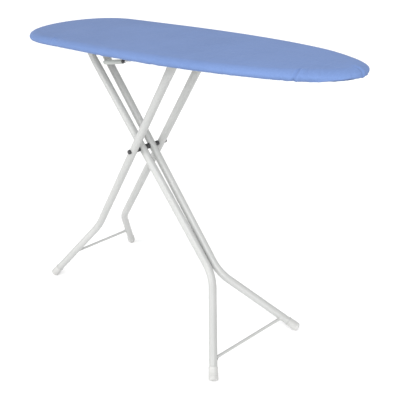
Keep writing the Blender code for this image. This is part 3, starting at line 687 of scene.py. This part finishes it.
def build_pins():
    """The turned pieces on the three pins, at the places of the CAD's."""
    for name in ("axle", "hinge_pin", "slide_rod"):
        x, z, _, _, end_y = along_y(name)
        pin(name, x, z, end_y, BODY_OF[name])
    for name in ("centre_spacer", "hinge_spacer", "side_spacer_near", "side_spacer_far"):
        x, z, radius, near_y, far_y = along_y(name)
        waist = 0.0006 if name == "centre_spacer" else 0.0
        bush(name, x, z, near_y, far_y, radius, BODY_OF[name], waist)
    for kind in ("axle", "hinge", "slide"):
        for label, side in SIDES:
            name = f"{kind}_cap_{label}"
            x, z, radius, near_y, far_y = along_y(name)
            y0, y1 = (near_y, far_y) if side > 0 else (far_y, near_y)
            dome_cap(name, x, z, y0, y1, radius, BODY_OF[name])


def build_rivets():
    """Domed rivet heads with a small setting dimple."""
    names = [name for name in frame["nodes"] if "_rivet_" in name]
    for name in sorted(names):
        low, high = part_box(name)
        centre = (low + high) / 2
        radius = (high.x - low.x) / 2
        depth = high.z - low.z
        profile = [(0.0, 0.0003), (0.0, radius - 0.0002), (0.0003, radius)]
        for i in range(1, 8):
            turn = radians(80) * i / 7
            profile.append((0.0003 + (depth - 0.0003) * sin(turn), radius * cos(turn)))
        profile += [(depth, 0.0005), (depth - 0.0003, 0.0003)]
        bm = bmesh.new()
        turned(bm, (centre.x, centre.y, high.z), (0, 0, -1), profile, 28)
        piece(name + "_head", bm, ZINC, "board", [name])


# ----------------------------------------------------------- lever and catch


def build_lever():
    """The bent wire, the ribbed grip on its tail and the collar on its nose side."""
    tail = Vector((GRIP_TAIL[0], LEVER_Y, GRIP_TAIL[1]))
    nose = Vector((GRIP_NOSE[0], LEVER_Y, GRIP_NOSE[1]))
    along = (nose - tail).normalized()
    length = (nose - tail).length
    knee = Vector((KNEE[0], LEVER_Y, KNEE[1]))
    elbow = Vector((SHAFT_X, LEVER_Y, SHAFT_Z))
    shaft_end = Vector((SHAFT_X, SHAFT_END_Y, SHAFT_Z))
    points = [tail + along * 0.012, tail + along * 0.05, nose]
    points += rounded_corner(nose, knee, elbow, 0.012)
    points += rounded_corner(knee, elbow, shaft_end, 0.008)
    points += [elbow.lerp(shaft_end, share) for share in (0.3, 0.5, 0.7, 0.9, 0.985)]
    points.append(shaft_end)
    bm = bmesh.new()
    last = len(points) - 1
    swept(bm, points, lambda i: WIRE_R if i < last else WIRE_R - 0.0005, 20)
    piece("lever_rod", bm, ZINC, "lever", ["lever_wire"])

    bm = bmesh.new()
    bore = WIRE_R + 0.0001
    profile = [(0.0, TIP_R), (0.0, 0.0024)]
    steps = 64
    for i in range(steps + 1):
        share = i / steps
        dome = sqrt(max(1 - (1 - min(share * length / 0.006, 1.0)) ** 2, 0.0))
        swell = GRIP_R - 0.0007 + 0.0007 * sin(pi * share) ** 0.8
        ribbed = 0.16 < share < 0.88
        rib = RIB_DEPTH * max(0.0, sin(2 * pi * share * length / RIB_PITCH)) if ribbed else 0.0
        profile.append((share * (length - 0.0006), max(swell * dome - rib, 0.0026)))
    profile += [(length, GRIP_R - 0.0013), (length, bore), (0.010, bore), (0.010, TIP_R)]
    turned(bm, tail, along, profile, 40)
    piece("lever_handle", bm, GRIP, "lever", ["lever_grip"])

    bm = bmesh.new()
    profile = [(0.0, bore)] + quarter(0.0, GRIP_R - 0.0008, 0.0006, 1)
    profile += [(0.0020, GRIP_R - 0.0014), (0.0026, GRIP_R - 0.0022), (0.0034, GRIP_R - 0.0021)]
    profile += [(0.0065, WIRE_R + 0.0010), (0.0114, WIRE_R + 0.0006)]
    profile += [(COLLAR_LENGTH, WIRE_R + 0.0003), (COLLAR_LENGTH, bore)]
    turned(bm, nose + along * 0.0003, along, profile, 36)
    piece("lever_ferrule", bm, BLACK, "lever", ["grip_collar"])


def build_spring():
    """A coil round the lever's shaft, with an arm up to the panel on each side."""
    coil_r, wire_r, turns, steps = 0.0046, 0.0006, 5, 28
    start_y, pitch, arm_z = -0.052, 0.0016, PANEL_UNDER_Z - 0.0012
    points = [Vector((SHAFT_X - SPRING_ARM, start_y, arm_z))]
    for i in range(turns * steps + 1):
        turn = pi / 2 + 2 * pi * i / steps
        x, z = SHAFT_X + coil_r * cos(turn), SHAFT_Z + coil_r * sin(turn)
        points.append(Vector((x, start_y + pitch * i / steps, z)))
    points.append(Vector((SHAFT_X + SPRING_ARM, start_y + pitch * turns, arm_z)))
    bm = bmesh.new()
    swept(bm, points, wire_r, 10, ACROSS)
    piece("torsion_spring", bm, ZINC, "board", ["return_spring"])


# ------------------------------------------------------------------ the board


def vent_centres():
    """Staggered vents, at the places of the CAD panel's."""
    columns = int(BOARD_LENGTH / VENT_PITCH_X)
    made = []
    for column in range(-columns // 2, columns // 2 + 1):
        x = column * VENT_PITCH_X
        shift = VENT_PITCH_Y / 2 if column % 2 else 0.0
        for row in range(-3, 4):
            y = row * VENT_PITCH_Y + shift
            if abs(x) <= VENT_LIMIT_X and abs(y) + VENT_MARGIN <= half_width(x):
                made.append((x, y))
    return made


def rim_profile():
    """(offset, z) down the outside of the panel's rolled rim and up its inside."""
    outer = RIM_OFFSET
    inner = outer - SHEET
    profile = []
    for i in range(7):
        turn = pi / 2 * i / 6
        drop = RIM_BEND_OUTER * (1 - cos(turn))
        profile.append((outer - RIM_BEND_OUTER * (1 - sin(turn)), PANEL_TOP_Z - drop))
    profile += [(outer, RIM_BOTTOM_Z + 0.0003), (outer - 0.0003, RIM_BOTTOM_Z)]
    profile += [(inner + 0.0002, RIM_BOTTOM_Z), (inner, RIM_BOTTOM_Z + 0.0002)]
    for i in range(7):
        turn = pi / 2 * (1 - i / 6)
        drop = RIM_BEND_INNER * (1 - cos(turn))
        profile.append((inner - RIM_BEND_INNER * (1 - sin(turn)), PANEL_UNDER_Z - drop))
    return profile


def vent_ring(x, y, z, radius):
    """A level circle round a vent's axis."""
    return section(Vector((x, y, z)), UP, radius, radius, ACROSS, 28)


def build_panel():
    """Pressed sheet with a rolled rim and vents whose edges are drawn down."""
    points, normals, _ = core_outline(0.006)
    rings = []
    for offset, z in rim_profile():
        rings.append([Vector(p + n * offset) + UP * z for p, n in zip(points, normals)])
    bm = bmesh.new()
    loft(bm, rings)
    panel = solid("steel_top", bm)

    bm = bmesh.new()
    for x, y in vent_centres():
        loft(bm, [vent_ring(x, y, z, VENT_R) for z in (PANEL_UNDER_Z - 0.002, PANEL_TOP_Z + 0.002)])
    tool = solid("vents", bm)
    cut = panel.modifiers.new("vents", "BOOLEAN")
    cut.operation = "DIFFERENCE"
    cut.solver = "EXACT"
    cut.object = tool
    depsgraph = bpy.context.evaluated_depsgraph_get()
    cut_mesh = bpy.data.meshes.new_from_object(panel.evaluated_get(depsgraph))
    bpy.data.objects.remove(tool)
    bpy.data.objects.remove(panel)

    bm = bmesh.new()
    bm.from_mesh(cut_mesh)
    for x, y in vent_centres():
        lip = [vent_ring(x, y, PANEL_UNDER_Z + 0.0004, VENT_R + 0.00001)]
        for reach, drop in ((0.0022, 0.0001), (0.0012, 0.0006), (0.0006, 0.0016), (0.0002, 0.0016)):
            lip.append(vent_ring(x, y, PANEL_UNDER_Z - drop, VENT_R + reach))
        loft(bm, lip, closed=True)
    mesh = to_mesh("steel_top", bm)
    while mesh.materials:
        mesh.materials.pop()
    return finished("steel_top", mesh, GREY, "board", ["top_panel"], 30)


# Section of the pad's edge, (offset, z) from its underside out and over the top.
PAD_EDGE = (
    (0.0020, 0.8253), (0.0104, 0.8253), (0.0098, 0.8256), (0.0075, 0.8262), (0.0045, 0.8270),
    (0.0005, 0.8280), (-0.0045, 0.8292), (-0.0100, 0.8303), (-0.0160, 0.8312), (-0.0220, 0.8317),
)
PAD_ROUGH_Z = 0.8270            # its surface is uneven above this height


def build_pad():
    """Felt pad, thinning out over the edge, with slightly uneven thickness."""
    points, normals, _ = core_outline(0.007)
    half = len(points) // 2

    def rough(x, y):
        return 0.0002 * (0.5 + 0.5 * noise.noise(Vector((x, y, 0.5)) * 30.0))

    bm = bmesh.new()
    rings = []
    for offset, z in PAD_EDGE:
        ring = []
        for p, n in zip(points, normals):
            x, y, _ = p + n * offset
            ring.append(bm.verts.new((x, y, z - rough(x, y) if z > PAD_ROUGH_Z else z)))
        rings.append(ring)
    bridge(bm, rings)
    top_z, low_z = PAD_EDGE[-1][1], PAD_EDGE[0][1]
    fill_rows(bm, rings[-1], half, 20, lambda x, y: top_z - rough(x, y))
    fill_rows(bm, rings[0], half, 20, lambda x, y: low_z)
    made = piece("felt_underlay", bm, FELT, "board", ["pad"])


def fill_rows(bm, ring, half, columns, height):
    """Fill a closed outline ring with rows across from the near side to the
    far side. height gives the surface's z at x, y."""
    count = len(ring)
    rows = []
    for i in range(1, half):
        near, far = ring[i], ring[count - i]
        row = [near]
        for j in range(1, columns):
            share = 0.5 - 0.5 * cos(pi * j / columns)
            share = 0.35 * (j / columns) + 0.65 * share
            point = near.co.lerp(far.co, share)
            row.append(bm.verts.new((point.x, point.y, height(point.x, point.y))))
        row.append(far)
        rows.append(row)
    for low, high in zip(rows, rows[1:]):
        for j in range(columns):
            bm.faces.new((low[j], low[j + 1], high[j + 1], high[j]))
    for row, tip in ((rows[0], ring[0]), (rows[-1], ring[half])):
        for j in range(columns):
            bm.faces.new((tip, row[j], row[j + 1]))


# ------------------------------------------------------------------ the cover

COVER_SPACING = 0.0020
COVER_COLUMNS = 56
CLOTH = 0.0007
SEAM_OFFSET = 0.0088            # the seam that closes the hem's casing
CASING_R = 0.0019
UNDERSIDE = 0.69                # share of the edge past which it turns in under the board
PINCH_LIMIT = 0.0016            # deepest push, so that no pinch meets the pad
PINCH_LIMIT_UNDER = 0.0026
FOLD_DEPTH = 0.0014             # how far in the edge goes past its fold
FOLD_DEPTH_UNDER = 0.0040
FOLD_SPREAD = 0.09              # share of the edge that the fold takes
FOLD_LIP = 0.0020               # fullness just above the fold

# Pinches in the cover's edge on the near side: place along the board, depth,
# half width, lean from top to hem, and the share of the edge they start and
# end at (0 at the flat top, 1 under the board).
PINCHES = (
    (-0.520, 0.0011, 0.0080, -0.020, 0.20, 0.95),
    (-0.322, 0.0026, 0.0034, 0.014, 0.00, 0.42),
    (-0.300, 0.0008, 0.0080, -0.010, 0.10, 0.90),
    (-0.105, 0.0007, 0.0090, 0.018, 0.25, 1.00),
    (0.120, 0.0007, 0.0110, -0.022, 0.20, 1.00),
    (0.318, 0.0008, 0.0080, 0.020, 0.25, 1.00),
    (0.458, 0.0010, 0.0060, -0.012, 0.45, 1.05),
    (0.481, 0.0042, 0.0032, -0.012, 0.06, 0.84),
    (0.4935, 0.0014, 0.0024, -0.010, 0.20, 0.75),
    (0.503, 0.0020, 0.0028, 0.008, 0.08, 0.50),
    (0.524, 0.0010, 0.0040, 0.010, 0.02, 0.40),
    (0.5600, 0.0010, 0.0050, -0.008, 0.30, 0.90),
    (0.5758, 0.0026, 0.0030, -0.012, 0.05, 0.85),
)

# Towards the nose the top of the edge lies further in and so falls more gently:
# how much further at the flat top, the share of the edge by which that has faded
# out, where along the board it starts and the length over which it comes in.
NOSE_SOFTNESS = 0.009
SOFT_UNTIL = 0.42
SOFT_FROM_X = 0.40
SOFT_OVER_X = 0.12

# Where the cover folds under round the nose: distance round the edge from the
# tip, negative on the near side, and the share of the edge at the fold.
TURNED_UNDER = (
    (-0.125, 1.10),
    (-0.100, 0.94),
    (-0.060, 0.74),
    (-0.036, 0.66),
    (-0.020, 0.68),
    (0.0, 0.76),
    (0.06, 1.10),
)


def cover_section():
    """(offset, z, looseness, share of the edge) from the flat top over the soft
    edge, in under the board and round the casing of the hem."""
    made = []
    for i in range(14):
        turn = pi / 2 * i / 13
        offset = TUCK - EDGE_REACH * (1 - sin(turn))
        made.append((offset, TOP_Z - EDGE_DROP * (1 - cos(turn)), 0.03 + 0.12 * i / 13, 0.5 * i / 13))
    for i in range(1, 15):
        turn = pi / 2 * i / 14
        offset = TUCK - HEM_REACH * (1 - cos(turn))
        loose = 0.15 + 0.70 * (i / 14) ** 2
        made.append((offset, WIDEST_Z - HEM_DROP * sin(turn), loose, 0.5 + 0.5 * i / 14))
    for i in range(1, 5):
        made.append((TUCK - HEM_REACH - 0.008 * i / 4, HEM_Z, 0.85 + 0.15 * i / 4, 1.0 + 0.1 * i))
    for i in range(1, 7):
        turn = pi * i / 6
        made.append((-0.0020 - CASING_R * sin(turn), HEM_Z + CASING_R * (1 - cos(turn)), 1.0, 2.0))
    casing_top = ((0.0020, 0.8159), (0.0062, 0.8157), (0.0078, 0.8147), (0.0092, 0.8142), (0.0102, 0.8143))
    for offset, z in casing_top:
        made.append((offset, z, 0.7, 2.0))
    return made


def smooth_step(value):
    """Ease from 0 to 1 over the same range."""
    value = np.clip(value, 0.0, 1.0)
    return value * value * (3 - 2 * value)


def hump(value, centre, spread):
    """A smooth rise to 1 at the centre."""
    return np.exp(-(((value - centre) / spread) ** 2))


def nose_softening(x, share):
    """How much further in the edge lies at x along the board, at one share of it."""
    along = smooth_step((x - SOFT_FROM_X) / SOFT_OVER_X)
    return NOSE_SOFTNESS * along * max(0.0, SOFT_UNTIL - share) / SOFT_UNTIL


def gathers(distance, points):
    """How far the gathers push the hem in or out at each point, about -1 to 1,
    and how strong they are there: strongest round the two ends."""
    x = points[:, 0]
    ends = np.clip((-0.42 - x) / 0.12, 0, 1) + np.clip((x - 0.36) / 0.18, 0, 1)
    patch = 0.5 + 0.5 * wave(distance, 0.11, 4.2)
    strength = 0.30 + 0.25 * np.clip(patch, 0, 1) + 0.55 * ends
    warp = distance + 0.006 * wave(distance, 0.05, 8.8)
    fold = 0.60 * wave(warp, 0.013, 1.3) + 0.40 * wave(warp, 0.0075, 6.1)
    fold += 0.35 * wave(warp, 0.034, 2.9)
    ridge = 0.5 - np.abs(wave(warp, 0.019, 9.4))
    return np.clip(fold * 0.75 + ridge * 0.5, -1.2, 1.2), strength


def pinch_depth(share, distance, points):
    """Inward push of all the pinches at one share of the edge. Each is a groove
    with a low ridge on both sides."""
    half = len(points) // 2
    near_x, near_distance = points[: half + 1, 0], distance[: half + 1]
    push = np.zeros(len(points))
    for place, depth, width, lean, start, end in PINCHES:
        centre = np.interp(place, near_x, near_distance) + lean * (share - 0.5)
        reach = smooth_step((share - start + 0.12) / 0.24) * smooth_step((end + 0.12 - share) / 0.24)
        away = (distance - centre) / width
        groove = 0.68 * hump(away, 0.0, 0.75) - 0.60 * hump(away, 1.8, 1.2)
        groove -= 0.35 * hump(away, -1.9, 1.4)
        push += depth * reach * groove
    return np.minimum(push, PINCH_LIMIT_UNDER if share > UNDERSIDE else PINCH_LIMIT)


def cover_rings(points, normals, distance):
    """The cover's surface as one ring of positions for each section point."""
    signal, strength = gathers(distance, points)
    slow = wave(distance, 0.09, 3.3)
    hem_wave = wave(distance, 0.070, 7.7)
    x = points[:, 0]
    # The hem hangs a little lower past the deepest pinch.
    droop = smooth_step((x - 0.470) / 0.025) * smooth_step((0.565 - x) / 0.03)
    past_tip = distance - distance[len(points) // 2]
    fold_share = np.interp(past_tip, *zip(*TURNED_UNDER))
    stations = cover_section()
    rings = []
    for k, (offset, z, loose, share) in enumerate(stations):
        before, after = stations[max(k - 1, 0)], stations[min(k + 1, len(stations) - 1)]
        tangent = Vector((after[0] - before[0], after[1] - before[1])).normalized()
        outward, upward = -tangent.y, tangent.x
        push = 0.0014 * signal * strength * loose + 0.0006 * slow * loose
        tucked = 0.0
        if share <= 1.4:
            fade = min(1.0, (1.4 - share) / 0.3)
            push = push - pinch_depth(share, distance, points) * fade
            depth = FOLD_DEPTH_UNDER if share > UNDERSIDE else FOLD_DEPTH
            folded = smooth_step((share - fold_share) / FOLD_SPREAD) * depth
            lip = FOLD_LIP * hump(share - fold_share, -FOLD_SPREAD, FOLD_SPREAD) * (fold_share < 1.0)
            tucked = (folded - lip) * fade
        sink = max(0.0, loose - 0.25) * (0.0008 * hem_wave + 0.0012 * droop)
        out = offset - nose_softening(x, share) - tucked + push * outward
        ring = points + normals * out[:, None]
        ring[:, 2] = z + push * upward - sink
        rings.append(ring)
    return rings


def build_cover():
    """The cotton cover, with its pinches and gathered hem. Also gives the ring
    that the stitches follow."""
    points, normals, distance = core_outline(COVER_SPACING)
    half = len(points) // 2
    signal, strength = gathers(distance, points)
    surface = cover_rings(points, normals, distance)
    bm = bmesh.new()
    rings = [[bm.verts.new(place) for place in ring] for ring in surface]
    bridge(bm, rings)
    edge_xy = surface[0][:, :2]

    def height(x, y):
        gap = np.hypot(edge_xy[:, 0] - x, edge_xy[:, 1] - y)
        at = int(gap.argmin())
        near_edge = float(np.exp(-gap[at] / 0.012) * smooth_step(gap[at] / 0.008))
        pucker = -0.0012 * signal[at] * strength[at] * near_edge
        broad = 0.0006 * noise.noise(Vector((x * 8.0, y * 15.0, 1.7)))
        fine = 0.00020 * noise.noise(Vector((x * 34.0, y * 52.0, 5.1)))
        inside = float(smooth_step(gap[at] / 0.03))
        level = surface[0][at, 2] * (1 - inside) + TOP_Z * inside
        return level + (0.0005 + broad + fine) * inside + pucker

    fill_rows(bm, rings[0], half, COVER_COLUMNS, height)
    made = piece("cotton_cover", bm, COTTON, "board", ["cover"], 0)
    thick = made.modifiers.new("cloth", "SOLIDIFY")
    thick.thickness = CLOTH
    thick.offset = -1.0
    thick.use_even_offset = False
    gaps = []
    for offset, z, _, share in cover_section():
        gaps.append(abs(offset - SEAM_OFFSET) if z < WIDEST_Z and share <= 1.0 else 1.0)
    return made, surface[gaps.index(min(gaps))]


def build_stitches(seam):
    """The seam that closes the hem's casing, one stitch at a time."""
    bm = bmesh.new()
    for i in range(0, len(seam) - 1, 2):
        start, end = Vector(seam[i]), Vector(seam[i + 1])
        along = (end - start).normalized()
        centre = (start + end) / 2
        rings = []
        for share, r in ((-1.0, 0.00008), (-0.8, 0.00022), (0.0, 0.00028), (0.8, 0.00022), (1.0, 0.00008)):
            rings.append(section(centre + along * (share * 0.0016), along, r, r, UP, 6))
        loft(bm, rings)
    return piece("hem_stitching", bm, THREAD, "board", (), 0)


def build_hem_cord():
    """The elastic cord inside the casing, all the way round."""
    points, normals, _ = core_outline(0.006)
    path = [Vector(p + n * CORD_OFFSET) + UP * CORD_Z for p, n in zip(points, normals)]
    bm = bmesh.new()
    swept(bm, path, 0.0012, 10, UP, closed=True)
    piece("hem_elastic", bm, ELASTIC, "board", ["hem_cord"])


# -------------------------------------------------------- carried-over pieces


def dress_cad_nodes():
    """Give the CAD nodes that stay their finished materials."""
    kept = {
        GREY: ["tail_brace", "nose_brace", "rail_near", "rail_far", "hinge_bracket_near",
               "hinge_bracket_far", "lever_bracket_outer", "lever_bracket_inner"],
        ZINC: ["latch_bar"],
    }
    for look, names in kept.items():
        for name in names:
            node = frame["nodes"][name]
            for slot in node.material_slots:
                slot.material = look


# ------------------------------------------------------------------ the stage

FLOOR_HALF = 150.0
FLOOR_Z = -0.0002
WORLD_STRENGTH = 0.88
SUN_SPREAD = radians(45)
# Name, where the light comes from, and energy.
SUNS = (
    ("front_light", (-0.25, -1.0, 0.42), 1.55),
    ("side_light", (0.95, -0.65, 0.38), 1.60),
)
NOSE_LIGHT_AT = Vector((1.30, -0.90, 1.95))
NOSE_LIGHT_SIZE = 1.0
NOSE_LIGHT_ENERGY = 14.0

CAMERA_AT = (1.3374, -1.0244, 1.1333)
CAMERA_YAW = 0.8753             # radians, left from looking along +Y
CAMERA_PITCH = 0.4194           # down
CAMERA_ROLL = -0.0750
CAMERA_LENS = 59.88
CAMERA_SHIFT_X = -0.0324
CAMERA_SHIFT_Y = 0.0037


def build_lamp(name, kind, energy, towards):
    """A lamp that shines along a direction. Gives the object and its data."""
    data = bpy.data.lights.new(name, kind)
    data.energy = energy
    lamp = placed(name, data)
    lamp.rotation_mode = "QUATERNION"
    lamp.rotation_quaternion = towards.to_track_quat("-Z", "Y")
    return lamp, data


def build_floor():
    """A wide sheet of white paper, just under the feet."""
    bm = bmesh.new()
    bmesh.ops.create_grid(bm, x_segments=1, y_segments=1, size=FLOOR_HALF)
    floor = placed("floor", to_mesh("floor", bm))
    look = Look("floor_paper", (0.95, 0.95, 0.95), 0.9)
    look.set("Specular IOR Level", 0.1)
    floor.data.materials.append(look.material)
    floor.location.z = FLOOR_Z


def build_stage():
    """Floor, even white surroundings, two broad lamps and one by the nose."""
    build_floor()
    world = bpy.data.worlds.new("studio")
    world.use_nodes = True
    background = world.node_tree.nodes["Background"]
    background.inputs["Color"].default_value = (1.0, 1.0, 1.0, 1.0)
    background.inputs["Strength"].default_value = WORLD_STRENGTH
    bpy.context.scene.world = world

    for name, source, energy in SUNS:
        _, data = build_lamp(name, "SUN", energy, -Vector(source))
        data.angle = SUN_SPREAD
    nose_tip = Vector((BOARD_LENGTH / 2, 0.0, TOP_Z))
    lamp, data = build_lamp("nose_light", "AREA", NOSE_LIGHT_ENERGY, nose_tip - NOSE_LIGHT_AT)
    data.shape = "DISK"
    data.size = NOSE_LIGHT_SIZE
    lamp.location = NOSE_LIGHT_AT
    view = bpy.context.scene.view_settings
    view.view_transform = "Standard"
    view.look = "None"


def build_camera():
    """The camera, from its place, its three turns and its lens."""
    yaw, pitch, roll = CAMERA_YAW, CAMERA_PITCH, CAMERA_ROLL
    forward = Vector((-sin(yaw) * cos(pitch), cos(yaw) * cos(pitch), -sin(pitch)))
    level = Vector((cos(yaw), sin(yaw), 0.0))
    upward = level.cross(forward)
    right = level * cos(roll) + upward * sin(roll)
    above = upward * cos(roll) - level * sin(roll)
    data = bpy.data.cameras.new("camera")
    data.lens = CAMERA_LENS
    data.shift_x = CAMERA_SHIFT_X
    data.shift_y = CAMERA_SHIFT_Y
    data.clip_end = 400.0
    camera = placed("camera", data)
    turn = Matrix((right, above, -forward)).transposed().to_4x4()
    camera.matrix_world = Matrix.Translation(CAMERA_AT) @ turn
    bpy.context.scene.camera = camera


# ----------------------------------------------------------------------- main

build_camera()
build_stage()
for pair in ("inner", "outer"):
    legs = [build_leg(pair, label, side) for label, side in SIDES]
    build_foot_rod(pair, legs[0], legs[1])
build_pins()
build_rivets()
build_lever()
build_spring()
build_panel()
build_pad()
build_hem_cord()
cover, seam = build_cover()
stitches = build_stitches(seam)
dress_cad_nodes()
